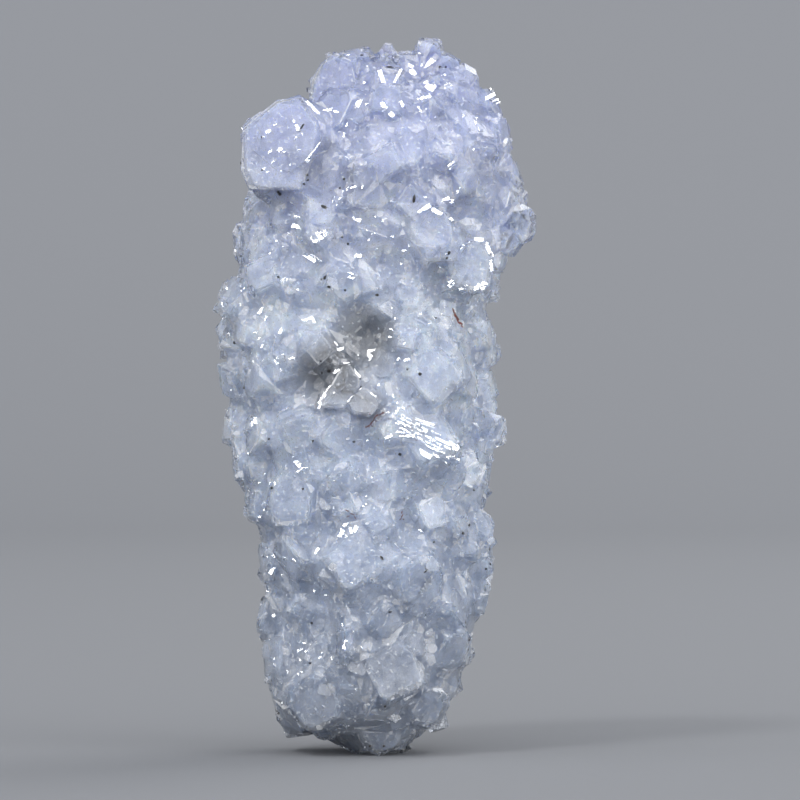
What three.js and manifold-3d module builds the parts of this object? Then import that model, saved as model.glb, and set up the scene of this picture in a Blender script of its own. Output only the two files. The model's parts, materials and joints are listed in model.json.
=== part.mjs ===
// An apophyllite cluster: a finger of clear, blocky crystals grown together all over, standing on its
// narrow end. Everything that grew is one solid. Millimetres, +Z up. The origin is the middle of the flat
// foot, on the surface it stands on. The photographed face looks along -Y, with +X to its right.
import * as THREE from "three";
import { ConvexGeometry } from "three/addons/geometries/ConvexGeometry.js";
import { mergeVertices } from "three/addons/utils/BufferGeometryUtils.js";
import Module from "manifold-3d";

// Driving dimensions of the body: where the crystal tips reach at each height, seen from the front
// (left, right) and from the side (front, back).
const BODY = [
  { height: -5, left: -3, right: 3, front: -5, back: 6 },
  { height: 0, left: -5.5, right: 5.5, front: -8, back: 9 },
  { height: 4.5, left: -15.8, right: 11, front: -12, back: 13 },
  { height: 11, left: -19, right: 14.5, front: -15, back: 16 },
  { height: 24, left: -21.1, right: 19.2, front: -18, back: 18 },
  { height: 38, left: -22, right: 20.5, front: -19, back: 18.5 },
  { height: 54, left: -25.8, right: 20.3, front: -20, back: 19 },
  { height: 74, left: -28.7, right: 21.8, front: -20, back: 20 },
  { height: 90, left: -26.6, right: 22.7, front: -20, back: 20 },
  { height: 101, left: -22.2, right: 24, front: -19.5, back: 19 },
  { height: 112, left: -13, right: 23.2, front: -18, back: 17 },
  { height: 120.5, left: -12, right: 20, front: -13, back: 13 },
  { height: 124.6, left: -8, right: 15, front: -8, back: 8 },
  { height: 126, left: -3, right: 9, front: -4, back: 4 },
];

// Swellings (and, with a negative rise, hollows) of the body. A turn is in degrees round the upright axis:
// 0 is the right edge, 90 the front, 180 the left edge and 270 the back.
const SWELLINGS = [
  { turn: 84, height: 76, rise: -4.5, reach: 6 },
  { turn: 88, height: 67, rise: -5, reach: 6 },
  { turn: 93, height: 89, rise: -3, reach: 5 },
  { turn: 92, height: 35, rise: 3, reach: 9 },
  { turn: 80, height: 13, rise: 2.5, reach: 8 },
  { turn: 128, height: 10, rise: 2, reach: 6 },
  { turn: 60, height: 66, rise: 3, reach: 9 },
  { turn: 132, height: 72, rise: 1.5, reach: 9 },
  { turn: 78, height: 108, rise: 2.5, reach: 10 },
  { turn: 250, height: 104, rise: 3, reach: 10 },
  { turn: 285, height: 82, rise: -3, reach: 7 },
  { turn: 235, height: 66, rise: 3, reach: 10 },
  { turn: 300, height: 52, rise: 3, reach: 9 },
  { turn: 262, height: 40, rise: -3.5, reach: 7 },
  { turn: 240, height: 22, rise: 2.5, reach: 9 },
  { turn: 330, height: 28, rise: 2, reach: 8 },
];

// Crystal form. The blocky prism is square. The pyramid's faces stand over the prism's edges, at this slope,
// and the flat base plane cuts the point off. A cut is measured down from the point, in half widths of the
// prism: 0 leaves a sharp point, 1.2 a small square top, 2 a wide eight-sided top and 2.5 a plain block.
const PYRAMID_SLOPE = 0.8;
const CUTS = [0.35, 1.05, 1.55, 2.05, 2.5];
const ROOT_LENGTH = 2.4; // how far a prism runs down into the body, in half widths

// The crystals that stand out: the middle of the flat top, the way the crystal points, its half width, its
// cut and its twist in degrees. A long crystal states its root in half widths.
const LARGE_CRYSTALS = [
  { name: "knob", tip: [-16.5, -17, 111], aim: [-0.25, -1, 0.1], half: 6, cut: 1.75, twist: 22 },
  { name: "knob block", tip: [-20, -15, 105.6], aim: [-0.45, -1, -0.15], half: 3.9, cut: 2.05, twist: 8 },
  { name: "knob corner", tip: [-21.5, -12, 112.5], aim: [-0.6, -0.8, 0.3], half: 3.4, cut: 1.6, twist: 30 },
  { name: "knob foot", tip: [-13, -17, 103.5], aim: [-0.1, -1, -0.2], half: 3.4, cut: 1.9, twist: 15 },
  { name: "crest", tip: [9.6, -1, 129.4], aim: [0.1, -0.25, 1], half: 2.3, cut: 1.3, twist: 20 },
  { name: "crest left", tip: [-4, -5, 127], aim: [-0.3, -0.35, 1], half: 2.8, cut: 1.6, twist: 35 },
  { name: "crest middle", tip: [2, -4, 128.6], aim: [0.1, -0.3, 1], half: 1.9, cut: 0.6, twist: 40 },
  { name: "crest right", tip: [13.5, -3, 126.6], aim: [0.5, -0.3, 1], half: 2, cut: 1.2, twist: 5 },
  { name: "crest edge", tip: [17, -4, 124], aim: [0.6, -0.4, 0.8], half: 2.1, cut: 1.05, twist: 60 },
  { name: "upper left", tip: [-8.2, -12, 116.6], aim: [-0.6, -0.8, 0.45], half: 3.7, cut: 2.05, twist: 40 },
  { name: "shoulder", tip: [21.3, -4, 117.8], aim: [0.9, -0.3, 0.45], half: 3, cut: 1.55, twist: 12 },
  { name: "right edge", tip: [23.2, -5, 112], aim: [1, -0.35, 0.15], half: 3.2, cut: 1.9, twist: 70 },
  { name: "bump top", tip: [25.4, -3, 105.5], aim: [1, -0.3, 0.4], half: 3, cut: 1.3, twist: 25 },
  { name: "bump middle", tip: [26.6, -4, 100], aim: [1, -0.3, 0.15], half: 3, cut: 1.3, twist: 48 },
  { name: "bump", tip: [27.2, -6, 95.6], aim: [0.9, -0.6, -0.1], half: 3.1, cut: 1.7, twist: 20 },
  { name: "bump under", tip: [25, -7, 92.4], aim: [0.8, -0.6, -0.3], half: 2.6, cut: 1.6, twist: 55 },
  { name: "bump low", tip: [22.8, -8, 88.6], aim: [0.9, -0.4, -0.3], half: 2, cut: 1.3, twist: 10 },
  { name: "sparkle", tip: [-10.4, -18.4, 97.8], aim: [-0.3, -1, 0.3], half: 3.2, cut: 1.3, twist: 28 },
  { name: "arch", tip: [9.6, -19.6, 94.5], aim: [0.1, -0.9, 0.45], half: 4, cut: 1.55, twist: 44 },
  { name: "ring", tip: [16.6, -15.6, 88.8], aim: [0.25, -1, 0.05], half: 3.7, cut: 2, twist: 10 },
  { name: "pit roof", tip: [-5.8, -20, 84.6], aim: [0.2, -1, -0.05], half: 3.2, cut: 1.55, twist: 60 },
  { name: "pit side", tip: [5, -19.5, 75], aim: [-0.2, -1, 0.1], half: 2.8, cut: 1.05, twist: 24 },
  { name: "pit edge", tip: [-10, -20.6, 73], aim: [0.35, -1, -0.1], half: 3.2, cut: 1.05, twist: 16 },
  { name: "left patch", tip: [-19.5, -14.4, 77], aim: [-0.6, -0.9, 0.2], half: 3.6, cut: 1.9, twist: 30 },
  { name: "gable", tip: [-5.8, -20, 71], aim: [0.05, -0.75, 0.8], half: 2.4, cut: 0.5, twist: 45 },
  { name: "low gable", tip: [-2, -19.5, 66], aim: [0.1, -0.8, 0.6], half: 2.6, cut: 1.05, twist: 38 },
  { name: "smooth flank", tip: [10.6, -19.4, 68.5], aim: [0.3, -1, 0.12], half: 4.2, cut: 2.05, twist: 60 },
  { name: "streaked", tip: [9.6, -19.4, 57.5], aim: [0.15, -0.85, 0.5], half: 4.4, cut: 2.05, twist: 35 },
  { name: "right fan", tip: [21.6, -4, 63.2], aim: [1, -0.4, 0.2], half: 2.3, cut: 0.55, twist: 30 },
  { name: "right pair", tip: [22.4, -5, 58.4], aim: [1, -0.5, -0.1], half: 2.6, cut: 1.7, twist: 44 },
  { name: "right pair low", tip: [20, -8, 55], aim: [0.8, -0.6, -0.3], half: 2.6, cut: 1.3, twist: 5 },
  { name: "left flank", tip: [-15.8, -16, 46], aim: [-0.5, -0.9, 0], half: 4.4, cut: 1.9, twist: 50 },
  { name: "dish", tip: [-4, -21.4, 35.5], aim: [-0.05, -1, 0.25], half: 4.4, cut: 2.05, twist: 30 },
  { name: "dish right", tip: [7.8, -19.3, 32], aim: [0.4, -1, -0.1], half: 4.2, cut: 1.7, twist: 12 },
  { name: "lath", tip: [-5.6, -20, 23.4], aim: [0, -0.35, 1], half: 1.2, cut: 2.2, twist: 45, root: 5.5 },
  { name: "broad face", tip: [3.3, -18.6, 15.8], aim: [0.1, -1, 0.2], half: 4.5, cut: 2.05, twist: 33 },
  { name: "lower left", tip: [-11.5, -15.2, 9.8], aim: [-0.35, -0.9, -0.2], half: 4.6, cut: 1.9, twist: 8 },
  { name: "lower right", tip: [9.8, -11.2, 8.4], aim: [0.5, -0.8, -0.3], half: 3.8, cut: 1.55, twist: 55 },
  { name: "toe", tip: [1, -11, 4.4], aim: [0.05, -0.9, -0.35], half: 4.2, cut: 1.9, twist: 24 },
  { name: "back block", tip: [-2, 22, 88], aim: [0.1, 1, 0.2], half: 5.2, cut: 1.9, twist: 40 },
  { name: "back crown", tip: [6, 15.5, 115], aim: [0.2, 1, 0.5], half: 4.2, cut: 1.55, twist: 22 },
  { name: "back spire", tip: [-14, 18.5, 52], aim: [-0.4, 1, 0.5], half: 4, cut: 0.55, twist: 10 },
  { name: "back table", tip: [8, 20.5, 62], aim: [0.2, 1, 0], half: 5, cut: 2.05, twist: 28 },
  { name: "back low block", tip: [-5, 20, 24], aim: [-0.1, 1, -0.2], half: 4.8, cut: 1.55, twist: 52 },
  { name: "left side", tip: [-27.4, 2, 60], aim: [-1, 0.1, 0.2], half: 3.8, cut: 1.55, twist: 18 },
  { name: "right side", tip: [20.8, 2, 40], aim: [1, 0, 0.3], half: 3.6, cut: 1.05, twist: 36 },
];

// The crystals that cover the rest, in rings from the foot to the crest.
const ROW_STEP = 8.2; // along the body's surface
const CRYSTAL_STEP = 8.6; // round a ring
const SMALLEST_HALF = 2.6;
const HALF_SPREAD = 2.4;
const PLACE_SPREAD = 0.6; // of a step, along the ring and up from it
const LEAN_SPREAD = 0.7;
const HIGHEST_OUT = 0.5; // past the skin
const OUT_SPREAD = 1.3;
const CORE_INSET = 2.2; // the body under the crystals lies this far inside the skin
const CORE_ROUGHNESS = 2.8; // and is itself broken into small crystal faces
const CORE_JITTER = 0.7; // of a step, up the body and round it
const CORE_LEAST = 0.4; // of the skin's radius, where the body is thin
const CORE_RINGS = 21;
const CORE_SEGMENTS = 22;
const CORNER_GRID = 0.05; // corners lie on this grid, so that none almost meet
const SMALLEST_EDGE = 0.3; // slivers where faces cross are closed up below this
const RANDOM_START = 20232;

// Steps small enough not to show.
const TURN_STEP = 0.05; // radians, for the skin's slope round a ring
const HEIGHT_STEP = 0.8; // for its slope up the body
const WALK_STEP = 0.1; // up the body between rings
const SAME_POINT = 1e-4; // corners closer than this are one
const POLE = 0.9999; // height on the ball of radius 1 from which a ring is only a point

const wasm = await Module();
wasm.setup();

// Park and Miller's random numbers, from 0 to 1, the same on every run.
let randomState = RANDOM_START;
function random() {
  randomState = (randomState * 16807) % 2147483647;
  return randomState / 2147483647;
}

const radians = THREE.MathUtils.degToRad;

// One of the body's four edges at a height, as a smooth curve through the stations.
function edgeAt(side, height) {
  const last = BODY.length - 2;
  let i = 0;
  while (i < last && height > BODY[i + 1].height) i += 1;
  const before = BODY[Math.max(i - 1, 0)];
  const [from, to] = [BODY[i], BODY[i + 1]];
  const after = BODY[Math.min(i + 2, BODY.length - 1)];
  const span = to.height - from.height;
  const share = THREE.MathUtils.clamp((height - from.height) / span, 0, 1);
  const slopeIn = ((to[side] - before[side]) / Math.max(to.height - before.height, span)) * span;
  const slopeOut = ((after[side] - from[side]) / Math.max(after.height - from.height, span)) * span;
  const s2 = share * share;
  const s3 = s2 * share;
  return (
    (2 * s3 - 3 * s2 + 1) * from[side] +
    (s3 - 2 * s2 + share) * slopeIn +
    (3 * s2 - 2 * s3) * to[side] +
    (s3 - s2) * slopeOut
  );
}

// A point of the plain body: an ellipse between the four edges, at a turn in radians and a height.
function plainPoint(turn, height) {
  const [left, right] = [edgeAt("left", height), edgeAt("right", height)];
  const [front, back] = [edgeAt("front", height), edgeAt("back", height)];
  return new THREE.Vector3(
    (left + right) / 2 + ((right - left) / 2) * Math.cos(turn),
    (front + back) / 2 - ((back - front) / 2) * Math.sin(turn),
    height,
  );
}

const SWELLING_POINTS = SWELLINGS.map((s) => plainPoint(radians(s.turn), s.height));

// The skin that the crystal tips reach: the plain body with its swellings and hollows.
function skinPoint(turn, height) {
  const point = plainPoint(turn, height);
  const middle = plainPoint(turn + Math.PI, height).add(point).multiplyScalar(0.5);
  const outward = point.clone().sub(middle).normalize();
  let rise = 0;
  SWELLINGS.forEach((s, i) => {
    rise += s.rise * Math.exp(-point.distanceToSquared(SWELLING_POINTS[i]) / (s.reach * s.reach));
  });
  return point.addScaledVector(outward, rise);
}

// The way out of the skin at a place, from its slope round the ring and up the body.
function skinNormal(turn, height) {
  const low = BODY[0].height;
  const high = BODY[BODY.length - 1].height;
  const round = skinPoint(turn + TURN_STEP, height).sub(skinPoint(turn - TURN_STEP, height));
  const above = skinPoint(turn, Math.min(height + HEIGHT_STEP, high));
  const up = above.sub(skinPoint(turn, Math.max(height - HEIGHT_STEP, low)));
  return up.cross(round).normalize();
}

// A mesh with one vertex at each of its corners.
function closedGeometry(geometry) {
  const bare = geometry.clone();
  bare.deleteAttribute("normal");
  bare.deleteAttribute("uv");
  return mergeVertices(bare, SAME_POINT);
}

// A mesh as a solid that can be joined and cut.
function solidOf(geometry) {
  const merged = closedGeometry(geometry);
  const vertProperties = new Float32Array(merged.attributes.position.array);
  const triVerts = new Uint32Array(merged.index.array);
  return new wasm.Manifold(new wasm.Mesh({ numProp: 3, vertProperties, triVerts }));
}

function geometryOf(solid) {
  const { vertProperties, triVerts } = solid.getMesh();
  const geometry = new THREE.BufferGeometry();
  geometry.setAttribute("position", new THREE.BufferAttribute(new Float32Array(vertProperties), 3));
  geometry.setIndex(new THREE.BufferAttribute(new Uint32Array(triVerts), 1));
  return geometry;
}

// Every sign of x and y, for the four corners of a square.
const SIGNS = [[1, 1], [1, -1], [-1, 1], [-1, -1]];

// A crystal of half width 1 along +Z with its flat top at z = 0, as the hull of its corners.
function crystalGeometry(cut, root) {
  const point = cut; // height of the uncut point above the flat top
  const corner = point - 2 / PYRAMID_SLOPE;
  const middle = point - 1 / PYRAMID_SLOPE;
  const topReach = cut * PYRAMID_SLOPE;
  const corners = SIGNS.map(([x, y]) => new THREE.Vector3(x, y, corner));
  const roots = SIGNS.map(([x, y]) => new THREE.Vector3(x, y, -root));
  const points = [...corners, ...roots];
  for (const [x, y] of SIGNS) {
    if (topReach <= 1) {
      const [along, across] = x === y ? [x, 0] : [0, x];
      points.push(new THREE.Vector3(along * topReach, across * topReach, 0));
      points.push(new THREE.Vector3(along, across, middle));
    } else {
      points.push(new THREE.Vector3(x, y * (topReach - 1), 0));
      points.push(new THREE.Vector3(x * (topReach - 1), y, 0));
    }
  }
  return new ConvexGeometry(points);
}

const UP = new THREE.Vector3(0, 0, 1);

// A crystal as a solid, with the middle of its flat top at the tip and its length along the axis.
function crystalSolid({ tip, axis, half, cut, twist, root = ROOT_LENGTH }) {
  const turned = new THREE.Quaternion().setFromUnitVectors(UP, axis);
  turned.multiply(new THREE.Quaternion().setFromAxisAngle(UP, twist));
  const placed = new THREE.Matrix4().compose(tip, turned, new THREE.Vector3(half, half, half));
  return solidOf(crystalGeometry(cut, root).applyMatrix4(placed));
}

// One of the large crystals, its numbers turned into points and angles.
function largeCrystal({ tip, aim, half, cut, twist, root }) {
  const axis = new THREE.Vector3(...aim).normalize();
  return { tip: new THREE.Vector3(...tip), axis, half, cut, twist: radians(twist), root };
}

// Heights of the rings of crystals, at even steps along the body's side as seen from the front.
function ringHeights(step) {
  const heights = [];
  const first = BODY[0].height;
  const last = BODY[BODY.length - 1].height;
  let walked = step / 2;
  let before = plainPoint(0, first);
  for (let height = first; height <= last; height += WALK_STEP) {
    const here = plainPoint(0, height);
    walked += here.distanceTo(before);
    before = here;
    if (walked >= step) {
      heights.push(height);
      walked -= step;
    }
  }
  return heights;
}

// The crystals between the large ones, each with its own size, lean and twist.
function scatteredCrystals(large) {
  const crystals = [];
  ringHeights(ROW_STEP).forEach((ringHeight) => {
    const across = plainPoint(0, ringHeight).distanceTo(plainPoint(Math.PI, ringHeight));
    const deep = plainPoint(Math.PI / 2, ringHeight).distanceTo(plainPoint(-Math.PI / 2, ringHeight));
    const count = Math.max(3, Math.round((Math.PI * (across + deep)) / 2 / CRYSTAL_STEP));
    const offset = random();
    for (let i = 0; i < count; i += 1) {
      const turn = ((i + offset + PLACE_SPREAD * (random() - 0.5)) / count) * 2 * Math.PI;
      const height = ringHeight + ROW_STEP * PLACE_SPREAD * (random() - 0.5);
      const half = SMALLEST_HALF + HALF_SPREAD * random() * random();
      const out = HIGHEST_OUT - OUT_SPREAD * random();
      const cut = CUTS[Math.floor(random() * CUTS.length)];
      const lean = [random() - 0.5, random() - 0.5, random() - 0.5];
      const twist = random() * Math.PI;
      const seat = skinPoint(turn, height);
      if (large.some((big) => big.tip.distanceTo(seat) < big.half)) continue;
      const axis = skinNormal(turn, height);
      axis.addScaledVector(new THREE.Vector3(...lean), LEAN_SPREAD).normalize();
      crystals.push({ tip: seat.clone().addScaledVector(axis, out), axis, half, cut, twist });
    }
  });
  return crystals;
}

// A number from 0 to 1 that jumps from place to place, and is the same for the same place.
function roughnessAt(point) {
  const mixed = Math.sin(point.x * 12.9 + point.y * 78.2 + point.z * 37.7) * 43758.5;
  return mixed - Math.floor(mixed);
}

// The body under the crystals: a ball whose rings are moved out to just inside the skin.
function coreSolid() {
  const ball = closedGeometry(new THREE.SphereGeometry(1, CORE_SEGMENTS, CORE_RINGS));
  const low = BODY[0].height + CORE_INSET;
  const high = BODY[BODY.length - 1].height - CORE_INSET;
  const position = ball.attributes.position;
  for (let i = 0; i < position.count; i += 1) {
    const [x, y, z] = [position.getX(i), position.getY(i), position.getZ(i)];
    const pole = Math.abs(y) > POLE;
    const jitter = pole ? 0 : CORE_JITTER * (roughnessAt(new THREE.Vector3(z, y, x)) - 0.5);
    const turn = Math.atan2(z, x) + jitter * ((2 * Math.PI) / CORE_SEGMENTS);
    const share = Math.acos(THREE.MathUtils.clamp(y, -1, 1)) / Math.PI + jitter / CORE_RINGS;
    const height = low + (high - low) * (1 - share);
    const skin = skinPoint(turn, height);
    const middle = plainPoint(0, height).add(plainPoint(Math.PI, height)).multiplyScalar(0.5);
    middle.y = (plainPoint(Math.PI / 2, height).y + plainPoint(-Math.PI / 2, height).y) / 2;
    const radius = skin.distanceTo(middle);
    const inset = CORE_INSET + CORE_ROUGHNESS * (roughnessAt(skin) - 0.5);
    const kept = pole ? 0 : Math.max(radius - inset, radius * CORE_LEAST) / radius;
    skin.sub(middle).multiplyScalar(kept).add(middle);
    position.setXYZ(i, skin.x, skin.y, height);
  }
  return solidOf(ball);
}

// Everything below the surface that the cluster stands on is cut away, which leaves the flat foot.
function belowFloor() {
  const [wide, deep] = [80, 30];
  return solidOf(new THREE.BoxGeometry(wide, wide, deep).translate(0, 0, -deep / 2));
}

// A solid with its corners moved onto the grid.
function onGrid(solid) {
  return solid.warp((corner) => {
    for (let i = 0; i < 3; i += 1) corner[i] = Math.round(corner[i] / CORNER_GRID) * CORNER_GRID;
  });
}

// The outer body alone, with the sealed gaps between crystals filled.
function largestOf(solid) {
  return solid.decompose().reduce((most, body) => (body.volume() > most.volume() ? body : most));
}

const large = LARGE_CRYSTALS.map(largeCrystal);
const crystals = [...large, ...scatteredCrystals(large)];
const grown = wasm.Manifold.union([coreSolid(), ...crystals.map(crystalSolid)]);
const cut = onGrid(grown.subtract(belowFloor()).asOriginal());
const standing = largestOf(cut.simplify(SMALLEST_EDGE));

const clearCrystal = new THREE.MeshStandardMaterial({ color: 0xccd5e6, roughness: 0.12, metalness: 0 });

const cluster = new THREE.Mesh(geometryOf(standing), clearCrystal);
cluster.name = "apophyllite_cluster";

const group = new THREE.Group();
group.add(cluster);
export default group;
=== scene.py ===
# %% [markdown]
# # An apophyllite cluster
# The real object is a finger of apophyllite, about 130 mm tall: hundreds of clear, blocky crystals that grew
# over and into each other, cloudy in their roots, with a few dark grains and rusty flakes caught on them.
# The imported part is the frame. It has the body and its larger crystals, and everything here is made round
# it.

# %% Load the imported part
import itertools
import json
import math
import random
from bisect import bisect

import bmesh
import bpy
from mathutils import Matrix, Quaternion, Vector, noise
from mathutils.bvhtree import BVHTree

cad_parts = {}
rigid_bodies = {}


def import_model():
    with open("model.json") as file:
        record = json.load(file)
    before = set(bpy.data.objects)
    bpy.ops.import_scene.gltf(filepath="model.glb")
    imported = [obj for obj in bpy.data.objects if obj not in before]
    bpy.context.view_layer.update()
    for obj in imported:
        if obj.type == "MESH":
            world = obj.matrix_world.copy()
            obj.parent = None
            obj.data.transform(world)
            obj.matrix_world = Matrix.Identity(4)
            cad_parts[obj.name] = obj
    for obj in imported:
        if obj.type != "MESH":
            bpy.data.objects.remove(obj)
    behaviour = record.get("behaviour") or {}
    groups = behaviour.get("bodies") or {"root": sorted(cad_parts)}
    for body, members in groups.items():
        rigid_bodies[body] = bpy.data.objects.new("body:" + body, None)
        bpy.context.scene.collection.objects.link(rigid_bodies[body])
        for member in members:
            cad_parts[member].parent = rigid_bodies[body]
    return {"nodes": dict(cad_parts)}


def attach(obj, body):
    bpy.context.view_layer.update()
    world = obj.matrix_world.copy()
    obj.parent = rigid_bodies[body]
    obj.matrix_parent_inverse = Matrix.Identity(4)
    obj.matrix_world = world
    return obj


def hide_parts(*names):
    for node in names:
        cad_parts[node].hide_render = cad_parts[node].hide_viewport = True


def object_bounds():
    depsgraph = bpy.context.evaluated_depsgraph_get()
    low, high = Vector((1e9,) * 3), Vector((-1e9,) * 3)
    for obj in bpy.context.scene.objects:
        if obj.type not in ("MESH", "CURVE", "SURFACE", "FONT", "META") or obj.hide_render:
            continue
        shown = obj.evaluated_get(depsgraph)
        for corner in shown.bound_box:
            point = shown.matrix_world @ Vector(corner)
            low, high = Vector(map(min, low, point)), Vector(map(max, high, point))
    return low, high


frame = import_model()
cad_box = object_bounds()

MM = 0.001
UP = Vector((0, 0, 1))
packed = frame["nodes"]["apophyllite_cluster"]
print("packed part", [round(x / MM, 1) for x in cad_box[1] - cad_box[0]], "mm")

# %% [markdown]
# ## The camera
# The photograph looks at the cluster level, from the front. A long lens from almost a metre away keeps the
# crystals' proportions, as a product photographer does. One pixel of the photograph is 0.182 mm at the
# cluster, and its foot is at a known pixel, so any place in the photograph can be found on the model.

# %% Make the camera
PIXEL = 0.182 * MM
FOOT_PIXEL = (377, 752)
PHOTO_SIZE = 800
CAMERA_DISTANCE = 0.9
SENSOR = 36
NEAR_CLIP = 0.05


def link(thing):
    bpy.context.scene.collection.objects.link(thing)
    return thing


def at_pixel(px, py):
    """The place in the plane through the foot that a pixel of the photograph shows."""
    return Vector(((px - FOOT_PIXEL[0]) * PIXEL, 0, (FOOT_PIXEL[1] - py) * PIXEL))


camera = link(bpy.data.objects.new("camera", bpy.data.cameras.new("camera")))
camera.location = at_pixel(PHOTO_SIZE / 2, PHOTO_SIZE / 2) - Vector((0, CAMERA_DISTANCE, 0))
camera.rotation_euler = (math.pi / 2, 0, 0)
camera.data.sensor_width = SENSOR
camera.data.lens = SENSOR * CAMERA_DISTANCE / (PHOTO_SIZE * PIXEL)
camera.data.clip_start = NEAR_CLIP
bpy.context.scene.camera = camera
print("lens", round(camera.data.lens), "mm")

# %% [markdown]
# ## The clear finish
# Apophyllite is a plain glass-like mineral: full transmission, its own refractive index and a trace of blue
# absorption. Thin veils and flecks just under its faces hold a little light, so they lower the transmission
# here and there. Each flat face also has a lustre of its own, from dull and greyish to pearly, which is what
# tells one face from the next. Worn edges are slightly frosted, so they show as fine pale lines. Every mesh
# of the growth has both finishes, the plain one in its first slot and the worn one in its second.

# %% Make the clear and the worn finish
REFRACTION = 1.535
LUSTRE = "lustre"
DULL_TO_BRIGHT = [
    (0.0, (0.65, 0.7, 0.77)), (0.25, (0.84, 0.88, 0.935)), (0.5, (0.94, 0.965, 1)), (1.0, (1, 1, 1)),
]
PEARLY_FROM = 0.6
PEARLY_FLOOR = 0.72
VEILS = {"scale": 300, "detail": 8, "roughness": 0.62, "band": (0.36, 0.64)}
FLECKS = {"scale": 1700, "detail": 2, "band": (0.6, 0.7)}
GRIT = {"scale": 4200, "detail": 2, "band": (0.58, 0.7)}
GRAZES = {"scale": 3200, "detail": 3, "strength": 0.12, "depth": 0.02 * MM}
TRACE_OF_BLUE = {"colour": (0.72, 0.82, 0.97, 1), "density": 4}


def new_material(name):
    material = bpy.data.materials.new(name)
    material.use_nodes = True
    nodes = material.node_tree.nodes
    return material, nodes, material.node_tree.links, nodes["Principled BSDF"]


def object_noise(nodes, links, scale, detail, roughness=0.5):
    """Noise in the object's own coordinates. A scale of 1000 makes features about a millimetre wide."""
    coordinates = nodes.new("ShaderNodeTexCoord")
    texture = nodes.new("ShaderNodeTexNoise")
    texture.inputs["Scale"].default_value = scale
    texture.inputs["Detail"].default_value = detail
    texture.inputs["Roughness"].default_value = roughness
    links.new(coordinates.outputs["Object"], texture.inputs["Vector"])
    return texture.outputs["Fac"]


def in_range(nodes, links, value, old, new):
    """A value carried from one range to another and held inside it."""
    node = nodes.new("ShaderNodeMapRange")
    node.inputs["From Min"].default_value, node.inputs["From Max"].default_value = old
    node.inputs["To Min"].default_value, node.inputs["To Max"].default_value = new
    links.new(value, node.inputs["Value"])
    return node.outputs["Result"]


def combined(nodes, links, operation, first, second):
    node = nodes.new("ShaderNodeMath")
    node.operation = operation
    links.new(first, node.inputs[0])
    links.new(second, node.inputs[1])
    return node.outputs["Value"]


def ramp(nodes, links, factor, stops):
    colours = nodes.new("ShaderNodeValToRGB")
    elements = colours.color_ramp.elements
    while len(elements) < len(stops):
        elements.new(0.5)
    for element, (position, colour) in zip(elements, stops):
        element.position = position
        element.color = (*colour, 1)
    links.new(factor, colours.inputs["Fac"])
    return colours.outputs["Color"]


def patches(nodes, links, kind, levels):
    """Noise of one kind, with its band stretched over a range of levels."""
    found = object_noise(nodes, links, kind["scale"], kind["detail"], kind.get("roughness", 0.5))
    return in_range(nodes, links, found, kind["band"], levels)


def clear_finish(name, veil_range, fleck_floor, roughness):
    """The clear mineral, with the range of its transmission in the veils and in the flecks."""
    material, nodes, links, shader = new_material(name)
    shader.inputs["IOR"].default_value = REFRACTION
    shader.inputs["Roughness"].default_value = roughness
    lustre = nodes.new("ShaderNodeAttribute")
    lustre.attribute_name = LUSTRE
    links.new(ramp(nodes, links, lustre.outputs["Fac"], DULL_TO_BRIGHT), shader.inputs["Base Color"])
    pearly = in_range(nodes, links, lustre.outputs["Fac"], (PEARLY_FROM, 1), (1, PEARLY_FLOOR))
    veils = patches(nodes, links, VEILS, veil_range)
    flecks = patches(nodes, links, FLECKS, (1, fleck_floor))
    grit = patches(nodes, links, GRIT, (1, fleck_floor))
    spotted = combined(nodes, links, "MINIMUM", combined(nodes, links, "MINIMUM", veils, flecks), grit)
    links.new(combined(nodes, links, "MULTIPLY", spotted, pearly), shader.inputs["Transmission Weight"])
    bump = nodes.new("ShaderNodeBump")
    bump.inputs["Strength"].default_value = GRAZES["strength"]
    bump.inputs["Distance"].default_value = GRAZES["depth"]
    links.new(object_noise(nodes, links, GRAZES["scale"], GRAZES["detail"]), bump.inputs["Height"])
    links.new(bump.outputs["Normal"], shader.inputs["Normal"])
    absorb = nodes.new("ShaderNodeVolumeAbsorption")
    absorb.inputs["Color"].default_value = TRACE_OF_BLUE["colour"]
    absorb.inputs["Density"].default_value = TRACE_OF_BLUE["density"]
    links.new(absorb.outputs["Volume"], nodes["Material Output"].inputs["Volume"])
    return material


plain_finish = clear_finish("clear_apophyllite", (0.86, 1.0), 0.55, 0.015)
worn_finish = clear_finish("worn_apophyllite", (0.55, 0.97), 0.45, 0.2)
print("finishes", [material.name for material in bpy.data.materials])

# %% [markdown]
# ## One crystal
# Apophyllite grows as a square prism with a flat end. Four pyramid faces cut its corners, and how far they
# cut decides the look: small notches leave a block, and deep cuts leave a point. A cube that planes cut is
# the simplest true model of that habit, so each form is a cube bisected four times.

# %% Cut the crystal forms
PYRAMID_SLOPE = 0.8
CUTS = [0.3, 0.8, 1.3, 1.7, 2.1]
CORNERS = [(1, 1), (1, -1), (-1, 1), (-1, -1)]
ROOT = 2.2
WORN_SLOT = 1


def with_finishes(mesh):
    mesh.materials.append(plain_finish)
    mesh.materials.append(worn_finish)
    return mesh


def mesh_from(bm, name):
    """The shapes in a bmesh as a mesh, with every face outward."""
    bmesh.ops.recalc_face_normals(bm, faces=bm.faces)
    mesh = bpy.data.meshes.new(name)
    bm.to_mesh(mesh)
    bm.free()
    return mesh


def wear_edges(bm, width):
    """Turns each edge into a narrow face in the worn slot."""
    bmesh.ops.bevel(
        bm, geom=bm.edges, offset=width, segments=1, profile=0.5, affect="EDGES", material=WORN_SLOT
    )


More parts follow.
